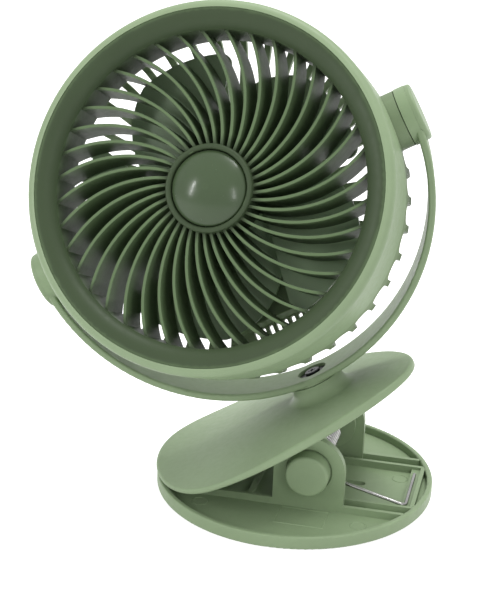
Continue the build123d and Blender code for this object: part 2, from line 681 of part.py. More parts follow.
# ================================================================ drum shell
ring_seat_radius = DRUM_RADIUS - DRUM_ROUND
with BuildPart() as drum_shell:
    with BuildSketch(head_section):
        with BuildLine():
            outer_turn = (DRUM_RADIUS, DRUM_FRONT - DRUM_ROUND)
            rim = (ring_seat_radius, DRUM_FRONT)
            mid = DRUM_ROUND * sin(pi / 4)
            Line((DRUM_RADIUS, DRUM_REAR), outer_turn)
            ThreePointArc(
                outer_turn,
                (ring_seat_radius + mid, DRUM_FRONT - DRUM_ROUND + mid),
                rim,
            )
            Polyline(
                rim,
                (ring_seat_radius, DRUM_FRONT - RING_SKIRT - SEAT_FIT),
                (DRUM_RADIUS - DRUM_WALL, DRUM_FRONT - RING_SKIRT - SEAT_FIT),
                (DRUM_RADIUS - DRUM_WALL, DRUM_REAR),
                (DRUM_RADIUS, DRUM_REAR),
            )
        make_face()
    revolve(axis=head_axis)
    # notches over the pivot bosses of the rear case
    for side in (-1, 1):
        with BuildSketch(pivot_plane(DRUM_RADIUS - 2 * DRUM_WALL, side)):
            Circle(BOSS_RADIUS + MOVING_GAP)
        extrude(amount=3 * DRUM_WALL, mode=Mode.SUBTRACT)
save(drum_shell, "drum_shell")

# ================================================================ front grille and its centre cap
vane_front = LIP_Z - VANE_SINK
vane_rear = vane_front - VANE_DEPTH
ring_radius = ring_seat_radius - RING_FIT
duct_outer = LIP_RADIUS + DUCT_THICKNESS
ring_front = DRUM_FRONT - RING_SINK
ring_slope = (ring_front - LIP_Z) / (ring_radius - LIP_RADIUS)
ring_lean = atan2(ring_front - LIP_Z, ring_radius - LIP_RADIUS)
ring_drop = RING_THICKNESS * sqrt(1 + ring_slope**2)
vane_swing = LIP_RADIUS / (2 * sin(radians(VANE_OUT_ANGLE)))
cap_base = HUB_RING_Z - HUB_DEPTH


def vane_point(radius):
    """Point of the first vane's middle line, which bends off the radius on a circle."""
    return polar(radius, VANE_START + degrees(asin(radius / (2 * vane_swing))))


def cone_z(radius):
    return LIP_Z + (radius - LIP_RADIUS) * ring_slope


vane_start = (HUB_RING_INNER + HUB_RING_RADIUS) / 2
vane_end = LIP_RADIUS + DUCT_THICKNESS / 2
vane_line = ThreePointArc(
    vane_point(vane_start), vane_point((vane_start + vane_end) / 2), vane_point(vane_end)
)

with BuildPart() as front_grille:
    with BuildSketch(head_section):
        with BuildLine():
            skirt_inner = ring_radius - RING_THICKNESS
            bulge_x = (LIP_RADIUS + ring_radius) / 2 - RING_BULGE * sin(ring_lean)
            bulge_z = (LIP_Z + ring_front) / 2 + RING_BULGE * cos(ring_lean)
            ThreePointArc((ring_radius, ring_front), (bulge_x, bulge_z), (LIP_RADIUS, LIP_Z))
            Polyline(
                (LIP_RADIUS, LIP_Z),
                (LIP_RADIUS, vane_rear),
                (duct_outer, vane_rear),
                (duct_outer, cone_z(duct_outer) - ring_drop),
                (skirt_inner, cone_z(skirt_inner) - ring_drop),
                (skirt_inner, DRUM_FRONT - RING_SKIRT),
                (ring_radius, DRUM_FRONT - RING_SKIRT),
                (ring_radius, ring_front),
            )
        make_face()
        with BuildLine():
            Polyline(
                (0, cap_base - HUB_FLOOR),
                (HUB_RING_INNER, cap_base - HUB_FLOOR),
                (HUB_RING_INNER, vane_rear),
                (HUB_RING_RADIUS, vane_rear),
                (HUB_RING_RADIUS, HUB_RING_Z),
                (HUB_RING_INNER, HUB_RING_Z),
                (HUB_RING_INNER, cap_base),
                (0, cap_base),
                close=True,
            )
        make_face()
    revolve(axis=head_axis)
    hub_front = front_grille.faces().filter_by(
        lambda f: f.geom_type == GeomType.PLANE
        and abs((f.center() - pivot).dot(face_dir) - HUB_RING_Z) < MOVING_GAP
    )
    fillet(hub_front.edges(), HUB_RING_ROUND)
    with BuildSketch(head.offset(vane_rear)):
        with PolarLocations(0, VANE_COUNT):
            SlotArc(vane_line, VANE_THICKNESS)
    extrude(amount=VANE_DEPTH)
save(front_grille, "front_grille")

cap_radius = HUB_RING_INNER - MOVING_GAP
cap_shoulder = HUB_RING_Z - HUB_CAP_EDGE
dome_top = cap_shoulder + HUB_CAP_DOME
dome_radius = (cap_radius**2 + HUB_CAP_DOME**2) / (2 * HUB_CAP_DOME)


def dome_z(radius):
    return dome_top - dome_radius + sqrt(dome_radius**2 - radius**2)


with BuildPart() as hub_cap:
    with BuildSketch(head_section):
        with BuildLine():
            cap_inner = cap_radius - HUB_CAP_WALL
            Polyline((cap_inner, cap_base), (cap_radius, cap_base), (cap_radius, cap_shoulder))
            ThreePointArc(
                (cap_radius, cap_shoulder), (cap_radius / 2, dome_z(cap_radius / 2)), (0, dome_top)
            )
            Line((0, dome_top), (0, dome_top - HUB_CAP_WALL))
            ThreePointArc(
                (0, dome_top - HUB_CAP_WALL),
                (cap_inner / 2, dome_z(cap_inner / 2) - HUB_CAP_WALL),
                (cap_inner, dome_z(cap_inner) - HUB_CAP_WALL),
            )
            Line((cap_inner, dome_z(cap_inner) - HUB_CAP_WALL), (cap_inner, cap_base))
        make_face()
    revolve(axis=head_axis)
    fillet(
        hub_cap.edges().filter_by(
            lambda e: abs(e.length - 2 * pi * cap_radius) < RUNNING_FIT
            and (e.center() - pivot).dot(face_dir) > cap_shoulder - RUNNING_FIT
        ),
        HUB_RING_ROUND,
    )
save(hub_cap, "hub_cap")

# ================================================================ rear case
case_radius = DRUM_RADIUS - REAR_STEP
case_top = DRUM_REAR - SEAT_FIT
corner_x = case_radius - REAR_CORNER
corner_z = REAR_FACE + REAR_CORNER
inner_corner = REAR_CORNER - REAR_WALL
inner_face = REAR_FACE + REAR_WALL
case_inner = case_radius - REAR_WALL
lip_outer = DRUM_RADIUS - DRUM_WALL - RING_FIT
lip_inner = lip_outer - LIP_THICKNESS
pad_half = BOX_HALF_WIDTH + BOX_PAD
pad_drop = sqrt(SLOT_LOWER_RADIUS**2 - pad_half**2)
slot_arc = 2 * case_radius * sin(pi / RIB_COUNT)
slot_end_radius = (slot_arc - REAR_RIB_WIDTH) / 2
slot_end_z = SLOT_SIDE_END - slot_end_radius
box_front = inner_face + BOX_DEPTH
boss_top = box_front - BOX_SCREW_SINK - BOX_WALL
lug_base = inner_face + LUG_RISE
board_rear = inner_face + BOARD_STAND
board_front = board_rear + BOARD_THICKNESS
board_half = BOX_HALF_WIDTH - BOX_WALL - BOARD_GAP
board_height = BOX_TOP_Y - BOX_BOTTOM_Y - 2 * (BOX_WALL + BOARD_GAP)
board_y = (BOX_TOP_Y + BOX_BOTTOM_Y) / 2


def corner_mid(radius):
    return (corner_x + radius * sin(pi / 4), corner_z - radius * cos(pi / 4))


boss_face = arm_inner - MOVING_GAP

with BuildPart() as rear_cover:
    with BuildSketch(head_section):
        with BuildLine():
            Line((0, REAR_FACE), (corner_x, REAR_FACE))
            ThreePointArc((corner_x, REAR_FACE), corner_mid(REAR_CORNER), (case_radius, corner_z))
            Polyline((case_radius, corner_z), (case_radius, case_top), (0, case_top), (0, REAR_FACE))
        make_face()
    revolve(axis=head_axis)
    # radial slots, cut straight through the back and round the corner
    with BuildSketch(head.offset(REAR_FACE)):
        Circle(case_radius + REAR_WALL)
        Circle(SLOT_INNER_RADIUS, mode=Mode.SUBTRACT)
        with BuildLine():
            ThreePointArc((-pad_half, -pad_drop), (0, -SLOT_LOWER_RADIUS), (pad_half, -pad_drop))
            Polyline((pad_half, -pad_drop), (pad_half, 0), (-pad_half, 0), (-pad_half, -pad_drop))
        make_face(mode=Mode.SUBTRACT)
        with PolarLocations(0, RIB_COUNT // 2, start_angle=RIB_START, angular_range=180):
            Rectangle(3 * case_radius, REAR_RIB_WIDTH, mode=Mode.SUBTRACT)
        with GridLocations(VENT_PITCH, 0, VENT_COUNT, 1):
            with Locations((0, VENT_Y)):
                SlotOverall(VENT_LENGTH, VENT_WIDTH, rotation=90)
    extrude(amount=slot_end_z - REAR_FACE, mode=Mode.SUBTRACT)
    for slot in range(RIB_COUNT):
        bearing = radians(RIB_START + (slot + 0.5) * 360 / RIB_COUNT)
        outward = pivot_dir * cos(bearing) + up_dir * sin(bearing)
        slot_end = pivot + outward * (case_inner - REAR_WALL) + face_dir * slot_end_z
        with BuildSketch(Plane(origin=slot_end, x_dir=face_dir, z_dir=outward)):
            Circle(slot_end_radius)
        extrude(amount=3 * REAR_WALL, mode=Mode.SUBTRACT)
    # pivot bosses on both sides, then the hollow, then the lip that enters the front shell
    for side in (-1, 1):
        with BuildSketch(pivot_plane(boss_face, side)):
            Circle(BOSS_RADIUS)
        extrude(amount=corner_x - boss_face)
    with BuildSketch(head_section):
        with BuildLine():
            Line((0, inner_face), (corner_x, inner_face))
            ThreePointArc((corner_x, inner_face), corner_mid(inner_corner), (case_inner, corner_z))
            Polyline((case_inner, corner_z), (case_inner, DRUM_FRONT), (0, DRUM_FRONT), (0, inner_face))
        make_face()
    revolve(axis=head_axis, mode=Mode.SUBTRACT)
    with BuildSketch(head_section):
        with Locations(((lip_inner + lip_outer) / 2, case_top + (LIP_LENGTH - LIP_ROOT) / 2)):
            Rectangle(LIP_THICKNESS, LIP_LENGTH + LIP_ROOT)
    revolve(axis=head_axis)
    for side in (-1, 1):
        with BuildSketch(pivot_plane(boss_face, side)):
            Circle(SPIGOT_PIVOT_RADIUS)
        extrude(amount=spigot_end - boss_face)
        with BuildSketch(pivot_plane(spigot_end, side)):
            Circle(SCREW_RADIUS)
        extrude(amount=-(SCREW_LENGTH - PIVOT_WASHER_THICKNESS), mode=Mode.SUBTRACT)
    # bosses and posts
    with BuildSketch(head.offset(inner_face)):
        with PolarLocations(LUG_CIRCLE, LUG_COUNT, start_angle=LUG_START):
            Circle(LUG_RADIUS)
    extrude(amount=LUG_RISE)
    with BuildSketch(head.offset(inner_face)):
        with Locations((0, BOX_SCREW_Y)):
            Circle(BOX_BOSS_RADIUS)
    extrude(amount=boss_top - inner_face)
    with BuildSketch(head.offset(inner_face)):
        with Locations((0, board_y)):
            with GridLocations(2 * (board_half - POST_INSET), board_height - 2 * POST_INSET, 2, 2):
                Circle(POST_RADIUS)
    extrude(amount=board_rear - inner_face)
    # screw pilots
    with BuildSketch(head.offset(lug_base)):
        with PolarLocations(LUG_CIRCLE, LUG_COUNT, start_angle=LUG_START):
            Circle(LUG_SCREW_RADIUS)
    extrude(amount=-(LUG_SCREW_LENGTH - LUG_THICKNESS + SEAT_FIT), mode=Mode.SUBTRACT)
    with BuildSketch(head.offset(boss_top)):
        with Locations((0, BOX_SCREW_Y)):
            Circle(BOX_SCREW_RADIUS)
    extrude(amount=-(BOX_SCREW_LENGTH - BOX_WALL + SEAT_FIT), mode=Mode.SUBTRACT)
    # holes for the button, the lights and the socket
    with BuildSketch(head.offset(REAR_FACE)):
        with Locations((0, BUTTON_Y)):
            Circle(BUTTON_RADIUS + RUNNING_FIT)
        with GridLocations(LIGHT_PITCH, 0, LIGHT_COUNT, 1):
            with Locations((0, LIGHT_Y)):
                Circle(LIGHT_RADIUS + SEAT_FIT)
        with Locations((0, SOCKET_Y)):
            SlotOverall(SOCKET_WIDTH + 2 * SOCKET_OPENING_GAP, SOCKET_HEIGHT + 2 * SOCKET_OPENING_GAP)
    extrude(amount=REAR_WALL, mode=Mode.SUBTRACT)
save(rear_cover, "rear_cover")

# ================================================================ motor
can_front = inner_face + MOTOR_LENGTH
front_bush_base = can_front + BUSH_PROUD - BUSH_LENGTH
rotor_rear = inner_face + (MOTOR_LENGTH - ROTOR_LENGTH) / 2
magnet_inner = ROTOR_RADIUS + MOVING_GAP
magnet_outer = MOTOR_RADIUS - MOTOR_WALL - SEAT_FIT

with BuildPart() as motor_can:
    with BuildSketch(head.offset(inner_face)):
        Circle(MOTOR_RADIUS)
    extrude(amount=MOTOR_LENGTH)
    can_ends = motor_can.faces().filter_by(GeomType.PLANE)
    fillet(can_ends.edges(), MOTOR_WALL)
    with BuildSketch(head.offset(inner_face + MOTOR_WALL)):
        Circle(MOTOR_RADIUS - MOTOR_WALL)
    extrude(amount=MOTOR_LENGTH - 2 * MOTOR_WALL, mode=Mode.SUBTRACT)
    with BuildSketch(head.offset(inner_face)):
        Circle(BUSH_RADIUS + SEAT_FIT)
    extrude(amount=MOTOR_LENGTH, mode=Mode.SUBTRACT)
save(motor_can, "motor_can")

with BuildPart() as motor_bushes:
    for base in (inner_face, front_bush_base):
        with BuildSketch(head.offset(base)):
            Circle(BUSH_RADIUS)
            Circle(SHAFT_RADIUS + RUNNING_FIT, mode=Mode.SUBTRACT)
        extrude(amount=BUSH_LENGTH)
save(motor_bushes, "motor_bushes")

with BuildPart() as motor_magnets:
    with BuildSketch(head.offset(rotor_rear)):
        Circle(magnet_outer)
        Circle(magnet_inner, mode=Mode.SUBTRACT)
        Rectangle(3 * MOTOR_RADIUS, BUSH_RADIUS, mode=Mode.SUBTRACT)
    extrude(amount=ROTOR_LENGTH)
save(motor_magnets, "motor_magnets")

with BuildPart() as motor_rotor:
    with BuildSketch(head.offset(rotor_rear)):
        Circle(ROTOR_RADIUS)
        with PolarLocations(ROTOR_RADIUS, LUG_COUNT):
            Circle(BUSH_RADIUS / 2, mode=Mode.SUBTRACT)
        Circle(SHAFT_RADIUS + SEAT_FIT, mode=Mode.SUBTRACT)
    extrude(amount=ROTOR_LENGTH)
save(motor_rotor, "motor_rotor")

shaft_rear = inner_face + SEAT_FIT
shaft_front = IMPELLER_FRONT - SHAFT_COVER
with BuildPart() as motor_shaft:
    with BuildSketch(head.offset(shaft_rear)):
        Circle(SHAFT_RADIUS)
    extrude(amount=shaft_front - shaft_rear)
save(motor_shaft, "motor_shaft")

with BuildPart() as motor_collar:
    collar_inner = MOTOR_RADIUS + SEAT_FIT
    with BuildSketch(head.offset(lug_base)):
        with PolarLocations(LUG_CIRCLE, LUG_COUNT, start_angle=LUG_START):
            Circle(LUG_RADIUS)
        with PolarLocations((LUG_CIRCLE + collar_inner) / 2, LUG_COUNT, start_angle=LUG_START):
            Rectangle(LUG_CIRCLE - collar_inner, 2 * LUG_RADIUS)
        Circle(collar_inner + COLLAR_WALL)
        Circle(collar_inner, mode=Mode.SUBTRACT)
        with PolarLocations(LUG_CIRCLE, LUG_COUNT, start_angle=LUG_START):
            Circle(LUG_SCREW_RADIUS + SEAT_FIT, mode=Mode.SUBTRACT)
    extrude(amount=LUG_THICKNESS)
    with BuildSketch(head.offset(lug_base)):
        Circle(collar_inner + COLLAR_WALL)
        Circle(collar_inner, mode=Mode.SUBTRACT)
    extrude(amount=COLLAR_HEIGHT)
save(motor_collar, "motor_collar")

with BuildPart() as motor_screws:
    lug_face = lug_base + LUG_THICKNESS
    with BuildSketch(head.offset(lug_face - LUG_SCREW_LENGTH)):
        with PolarLocations(LUG_CIRCLE, LUG_COUNT, start_angle=LUG_START):
            Circle(LUG_SCREW_RADIUS)
    extrude(amount=LUG_SCREW_LENGTH)
    with BuildSketch(head.offset(lug_face)):
        with PolarLocations(LUG_CIRCLE, LUG_COUNT, start_angle=LUG_START):
            Circle(LUG_HEAD_RADIUS)
    extrude(amount=LUG_HEAD_HEIGHT)
save(motor_screws, "motor_screws")

# ================================================================ impeller
blade_bearing = radians(BLADE_TURN)
blade_out = pivot_dir * cos(blade_bearing) + up_dir * sin(blade_bearing)
blade_side = face_dir.cross(blade_out)
blade_plane = Plane(origin=pivot, x_dir=blade_out, z_dir=face_dir)
trail_side = BLADE_RADIUS * sin(radians(TRAIL_TIP)) - BLADE_THICKNESS
lead_side = LEAD_MIDDLE_RADIUS / 2
side_middle = (trail_side + lead_side) / 2
blade_low = IMPELLER_REAR + BLADE_THICKNESS / 2
blade_high = IMPELLER_FRONT - BLADE_THICKNESS / 2
blade_mid = (blade_low + blade_high) / 2 + BLADE_CAMBER

with BuildPart() as blade:
    with BuildSketch(blade_plane.offset(IMPELLER_REAR - BLADE_THICKNESS)):
        with BuildLine():
            lead_root = polar(IMPELLER_HUB_RADIUS, LEAD_ROOT)
            lead_tip = polar(BLADE_RADIUS, LEAD_TIP)
            trail_tip = polar(BLADE_RADIUS, TRAIL_TIP)
            ThreePointArc(lead_root, polar(LEAD_MIDDLE_RADIUS, LEAD_MIDDLE), lead_tip)
            ThreePointArc(lead_tip, polar(BLADE_RADIUS, (LEAD_TIP + TRAIL_TIP) / 2), trail_tip)
            Polyline(trail_tip, polar(IMPELLER_HUB_RADIUS, TRAIL_ROOT), (0, 0), lead_root)
        make_face()
        fillet(vertices().sort_by_distance((0, 0))[-2:], BLADE_CORNER)
        Circle(IMPELLER_HUB_RADIUS - IMPELLER_HUB_WALL / 2, mode=Mode.SUBTRACT)
    extrude(amount=2 * IMPELLER_FRONT)
    with BuildSketch(Plane(origin=pivot, x_dir=blade_side, z_dir=blade_out)):
        with BuildLine() as camber_line:
            ThreePointArc((trail_side, blade_high), (side_middle, blade_mid), (lead_side, blade_low))
        trace(camber_line.line, BLADE_THICKNESS)
    extrude(amount=2 * BLADE_RADIUS, mode=Mode.INTERSECT)

with BuildPart() as impeller:
    for number in range(BLADE_COUNT):
        add(blade.part.rotate(head_axis, number * 360 / BLADE_COUNT))
    with BuildSketch(head_section):
        with BuildLine():
            cup_inner = IMPELLER_HUB_RADIUS - IMPELLER_HUB_WALL
            cup_roof = IMPELLER_FRONT - IMPELLER_HUB_WALL
            boss_end = IMPELLER_FRONT - IMPELLER_BOSS_LENGTH
            Polyline(
                (0, IMPELLER_FRONT),
                (IMPELLER_HUB_RADIUS, IMPELLER_FRONT),
                (IMPELLER_HUB_RADIUS, IMPELLER_REAR),
                (cup_inner, IMPELLER_REAR),
                (cup_inner, cup_roof),
                (IMPELLER_BOSS_RADIUS, cup_roof),
                (IMPELLER_BOSS_RADIUS, boss_end),
                (0, boss_end),
                close=True,
            )
        make_face()
    revolve(axis=head_axis)
    with BuildSketch(head.offset(boss_end)):
        Circle(SHAFT_RADIUS + SEAT_FIT)
    extrude(amount=shaft_front + SEAT_FIT - boss_end, mode=Mode.SUBTRACT)
save(impeller, "impeller")

# ================================================================ battery and electronics
with BuildPart() as electronics_box:
    box_middle = (BOX_TOP_Y + BOX_BOTTOM_Y) / 2
    box_height = BOX_TOP_Y - BOX_BOTTOM_Y
    with BuildSketch(head.offset(inner_face)):
        with Locations((0, box_middle)):
            RectangleRounded(2 * BOX_HALF_WIDTH, box_height, BOX_CORNER)
    extrude(amount=box_front - inner_face)
    fillet(electronics_box.faces().sort_by(head_axis)[-1].edges(), BOX_WALL / 2)
    with BuildSketch(head.offset(inner_face)):
        with Locations((0, box_middle)):
            RectangleRounded(
                2 * (BOX_HALF_WIDTH - BOX_WALL), box_height - 2 * BOX_WALL, BOX_CORNER - BOX_WALL
            )
    extrude(amount=box_front - BOX_WALL - inner_face, mode=Mode.SUBTRACT)
    with BuildSketch(head.offset(boss_top)):
        with Locations((0, BOX_SCREW_Y)):
            Circle(BOX_CUP_RADIUS)
    extrude(amount=box_front - BOX_WALL / 2 - boss_top)
    with BuildSketch(head.offset(box_front - BOX_SCREW_SINK)):
        with Locations((0, BOX_SCREW_Y)):
            Circle(BOX_SCREW_HEAD_RADIUS + MOVING_GAP)
    extrude(amount=2 * BOX_SCREW_SINK, mode=Mode.SUBTRACT)
    with BuildSketch(head.offset(boss_top)):
        with Locations((0, BOX_SCREW_Y)):
            Circle(BOX_SCREW_RADIUS + SEAT_FIT)
    extrude(amount=BOX_WALL, mode=Mode.SUBTRACT)
save(electronics_box, "electronics_box")

with BuildPart() as box_screw:
    screw_seat = box_front - BOX_SCREW_SINK
    with BuildSketch(head.offset(screw_seat)):
        with Locations((0, BOX_SCREW_Y)):
            Circle(BOX_SCREW_HEAD_RADIUS)
    extrude(amount=BOX_SCREW_HEAD_HEIGHT)
    fillet(box_screw.faces().sort_by(head_axis)[-1].edges(), BOX_SCREW_HEAD_HEIGHT / 3)
    with BuildSketch(head.offset(screw_seat)):
        with Locations((0, BOX_SCREW_Y)):
            Circle(BOX_SCREW_RADIUS)
    extrude(amount=-BOX_SCREW_LENGTH)
    with BuildSketch(head.offset(screw_seat + BOX_SCREW_HEAD_HEIGHT)):
        with Locations((0, BOX_SCREW_Y)):
            Rectangle(2 * BOX_SCREW_RADIUS, BOX_SCREW_RADIUS / 2)
            Rectangle(BOX_SCREW_RADIUS / 2, 2 * BOX_SCREW_RADIUS)
    extrude(amount=-BOX_SCREW_HEAD_HEIGHT / 2, mode=Mode.SUBTRACT)
save(box_screw, "box_screw")

with BuildPart() as circuit_board:
    with BuildSketch(head.offset(board_rear)):
        with Locations((0, board_y)):
            RectangleRounded(2 * board_half, board_height, BOX_CORNER - BOX_WALL)
        with Locations((0, BOX_SCREW_Y)):
            Circle(BOX_BOSS_RADIUS + BOARD_GAP, mode=Mode.SUBTRACT)
    extrude(amount=BOARD_THICKNESS)
save(circuit_board, "circuit_board")

with BuildPart() as battery_cells:
    cell_x = BOX_CUP_RADIUS + BOARD_GAP + CELL_WIDTH / 2
    with BuildSketch(head.offset(board_front)):
        with Locations((-cell_x, board_y), (cell_x, board_y)):
            Rectangle(CELL_WIDTH, CELL_HEIGHT)
    extrude(amount=CELL_THICKNESS)
    fillet(battery_cells.edges(), CELL_ROUND)
save(battery_cells, "battery_cells")

button_inner = inner_face + BUTTON_FLANGE
with BuildPart() as power_switch:
    with BuildSketch(head.offset(board_rear)):
        with Locations((0, BUTTON_Y)):
            Rectangle(SWITCH_SIZE, SWITCH_SIZE)
    extrude(amount=-SWITCH_HEIGHT)
    with BuildSketch(head.offset(board_rear)):
        with Locations((0, BUTTON_Y)):
            Circle(SWITCH_PIP_RADIUS)
    extrude(amount=button_inner + BUTTON_TRAVEL + RUNNING_FIT - board_rear)
save(power_switch, "power_switch")

with BuildPart() as power_button:
    with BuildSketch(head.offset(REAR_FACE - BUTTON_PROUD)):
        with Locations((0, BUTTON_Y)):
            Circle(BUTTON_RADIUS)
    extrude(amount=button_inner - REAR_FACE + BUTTON_PROUD)
    fillet(power_button.faces().sort_by(head_axis)[0].edges(), BUTTON_ROUND)
    with BuildSketch(head.offset(inner_face)):
        with Locations((0, BUTTON_Y)):
            Circle(BUTTON_RADIUS + BUTTON_FLANGE_EDGE)
    extrude(amount=BUTTON_FLANGE)
save(power_button, "power_button")

with BuildPart() as indicator_lights:
    with BuildSketch(head.offset(REAR_FACE)):
        with GridLocations(LIGHT_PITCH, 0, LIGHT_COUNT, 1):
            with Locations((0, LIGHT_Y)):
                Circle(LIGHT_RADIUS)
    extrude(amount=LIGHT_LENGTH)
save(indicator_lights, "indicator_lights")

with BuildPart() as usb_socket:
    socket_front = REAR_FACE + SOCKET_SET_BACK
    with BuildSketch(head.offset(socket_front)):
        with Locations((0, SOCKET_Y)):
            SlotOverall(SOCKET_WIDTH, SOCKET_HEIGHT)
    extrude(amount=board_rear - socket_front)
    with BuildSketch(head.offset(socket_front)):
        with Locations((0, SOCKET_Y)):
            SlotOverall(SOCKET_WIDTH - 2 * SOCKET_WALL, SOCKET_HEIGHT - 2 * SOCKET_WALL)
            Rectangle(SOCKET_WIDTH - SOCKET_HEIGHT, SOCKET_TONGUE, mode=Mode.SUBTRACT)
    extrude(amount=board_rear - socket_front - SOCKET_WALL, mode=Mode.SUBTRACT)
save(usb_socket, "usb_socket")
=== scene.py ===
"""Looks, light and camera of the clip fan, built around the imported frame."""

import json
from math import cos, pi, sin

import bmesh
import bpy
from mathutils import Matrix, Vector


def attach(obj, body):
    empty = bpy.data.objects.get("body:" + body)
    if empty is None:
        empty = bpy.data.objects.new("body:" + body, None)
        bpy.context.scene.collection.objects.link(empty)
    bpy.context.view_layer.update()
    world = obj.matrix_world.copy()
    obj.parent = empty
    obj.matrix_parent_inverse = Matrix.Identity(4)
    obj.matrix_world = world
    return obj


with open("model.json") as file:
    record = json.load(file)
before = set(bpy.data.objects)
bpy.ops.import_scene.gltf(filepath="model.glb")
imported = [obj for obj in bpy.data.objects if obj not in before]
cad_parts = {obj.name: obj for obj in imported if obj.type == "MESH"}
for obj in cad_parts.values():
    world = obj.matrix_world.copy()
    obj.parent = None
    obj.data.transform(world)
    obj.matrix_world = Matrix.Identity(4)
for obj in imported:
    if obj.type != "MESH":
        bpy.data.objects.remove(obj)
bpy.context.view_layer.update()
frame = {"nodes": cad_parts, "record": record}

MM = 0.001

# ------------------------------------------------------------------ camera
CAMERA_AT = Vector((102.6, -563.0, 297.0)) * MM
CAMERA_RIGHT = Vector((0.973, 0.227, 0.033))
CAMERA_FORWARD = Vector((-0.2, 0.913, -0.357))
FOCAL_PIXELS = 1603.8
FRAME_WIDTH = 500           # pixels
SENSOR = 36.0               # mm


def add_camera():
    """The camera that was fitted to the photo."""
    data = bpy.data.cameras.new("camera")
    data.sensor_fit = "HORIZONTAL"
    data.sensor_width = SENSOR
    data.lens = FOCAL_PIXELS * SENSOR / FRAME_WIDTH
    data.clip_start = 0.01
    camera = bpy.data.objects.new("camera", data)
    bpy.context.collection.objects.link(camera)
    forward = CAMERA_FORWARD.normalized()
    right = (CAMERA_RIGHT - forward * CAMERA_RIGHT.dot(forward)).normalized()
    up = right.cross(forward)
    turn = Matrix((right, up, -forward)).transposed()
    camera.matrix_world = Matrix.Translation(CAMERA_AT) @ turn.to_4x4()
    bpy.context.scene.camera = camera


add_camera()

# ------------------------------------------------------------------ colours, written linear
PALE_GREEN = (0.242, 0.322, 0.190, 1)
GRILLE_GREEN = (0.044, 0.066, 0.032, 1)
CAP_GREEN = (0.054, 0.084, 0.040, 1)
REAR_GREEN = (0.200, 0.262, 0.156, 1)
BLADE_GREEN = (0.310, 0.430, 0.260, 1)
STEEL = (0.55, 0.55, 0.54, 1)
SPRING_STEEL = (0.36, 0.36, 0.35, 1)
BRASS = (0.62, 0.42, 0.13, 1)
BRONZE = (0.38, 0.20, 0.08, 1)
FERRITE = (0.02, 0.02, 0.022, 1)
# Dark steel: a black-oxide finish, chosen this dark as painted shade, so that the swivel washer and
# screw read as the shaded recess around them.
PAINTED_SHADE_DARK_STEEL = (0.035, 0.036, 0.038, 1)
DARK_PLASTIC = (0.022, 0.024, 0.022, 1)
BOARD_MASK = (0.012, 0.075, 0.025, 1)
FOIL = (0.50, 0.50, 0.52, 1)
CLEAR = (0.70, 0.85, 0.78, 1)

# ------------------------------------------------------------------ surface detail
# Noise scales count cells per metre. Pairs of tints are those of the darkest and the palest patches.
CLOUD_SCALE = 38.0
CLOUD_TINTS = (0.955, 1.04)
FLOW_SCALE = 420.0
FLECK_RANGE = (0.45, 0.75)  # of the flow noise
FLECK_SHARE = 0.22
FLECK_TINT = 0.90
GRAIN_SCALE = 2600.0
GRAIN_HEIGHT = 0.06 * MM
WORN_AND_HIGHLIT_FROM = 0.53          # pointiness at which an edge starts to turn paler, partly abrasion and partly a painted highlight
WORN_AND_HIGHLIT_TO = 0.62
PLASTIC_GLOSS_DROP = 0.05   # roughness falls and rises by these along the flow marks
PLASTIC_GLOSS_RISE = 0.06
COAT_ROUGHNESS = 0.08

DRAWN_STRETCH = (1.0, 9.0, 1.0)
DRAWN_SCALE = 900.0
DRAWN_HEIGHT = 0.03 * MM
STAIN_SCALE = 160.0
STAIN_TINTS = (0.82, 1.08)
METAL_GLOSS_DROP = 0.06
METAL_GLOSS_RISE = 0.10
METAL_EDGE = 0.12 * MM

COPPER_SCALE = 330.0
COPPER_EDGES = (0.03, 0.06)
COPPER_TINT = 1.9
COPPER_HEIGHT = 0.05 * MM
BOARD_ROUGHNESS = 0.35
CREASE_SCALE = 210.0
CREASE_TINTS = (0.8, 1.1)
CREASE_HEIGHT = 0.3 * MM
FOIL_ROUGHNESS = (0.28, 0.45)
SEED_SCALE = 1500.0
SEED_TINT = 0.9
PIPE_ROUGHNESS = (0.10, 0.22)


# ------------------------------------------------------------------ materials
def new_material(name):
    material = bpy.data.materials.new(name)
    material.use_nodes = True
    nodes = material.node_tree.nodes
    return material, nodes, material.node_tree.links, nodes["Principled BSDF"]


def noise(nodes, links, source, scale, detail=4.0, rough=0.55):
    node = nodes.new("ShaderNodeTexNoise")
    node.inputs["Scale"].default_value = scale
    node.inputs["Detail"].default_value = detail
    node.inputs["Roughness"].default_value = rough
    links.new(source, node.inputs["Vector"])
    return node.outputs["Fac"]


def ramp(nodes, links, source, low, high, at_low=0.3, at_high=0.7):
    """From low to high as the source goes from at_low to at_high, and no further."""
    node = nodes.new("ShaderNodeMapRange")
    node.inputs["From Min"].default_value = at_low
    node.inputs["From Max"].default_value = at_high
    node.inputs["To Min"].default_value = low
    node.inputs["To Max"].default_value = high
    links.new(source, node.inputs["Value"])
    return node.outputs["Result"]


def mix_colour(nodes, links, factor, first, second):
    """Mixes two colours, each a tuple or an output socket."""
    node = nodes.new("ShaderNodeMix")
    node.data_type = "RGBA"
    links.new(factor, node.inputs["Factor"])
    for socket, value in (("A", first), ("B", second)):
        target = [i for i in node.inputs if i.name == socket and i.type == "RGBA"][0]
        if isinstance(value, tuple):
            target.default_value = value
        else:
            links.new(value, target)
    return [o for o in node.outputs if o.type == "RGBA"][0]


def bump(nodes, links, height, strength, distance, normal=None):
    node = nodes.new("ShaderNodeBump")
    node.inputs["Strength"].default_value = strength
    node.inputs["Distance"].default_value = distance
    links.new(height, node.inputs["Height"])
    if normal is not None:
        links.new(normal, node.inputs["Normal"])
    return node.outputs["Normal"]


def tint(colour, factor):
    return tuple(min(1.0, c * factor) for c in colour[:3]) + (1.0,)


def patches(nodes, links, source, colour, tints):
    """The colour in soft darker and paler patches, which follow the source."""
    share = ramp(nodes, links, source, 0.0, 1.0)
    return mix_colour(nodes, links, share, tint(colour, tints[0]), tint(colour, tints[1]))


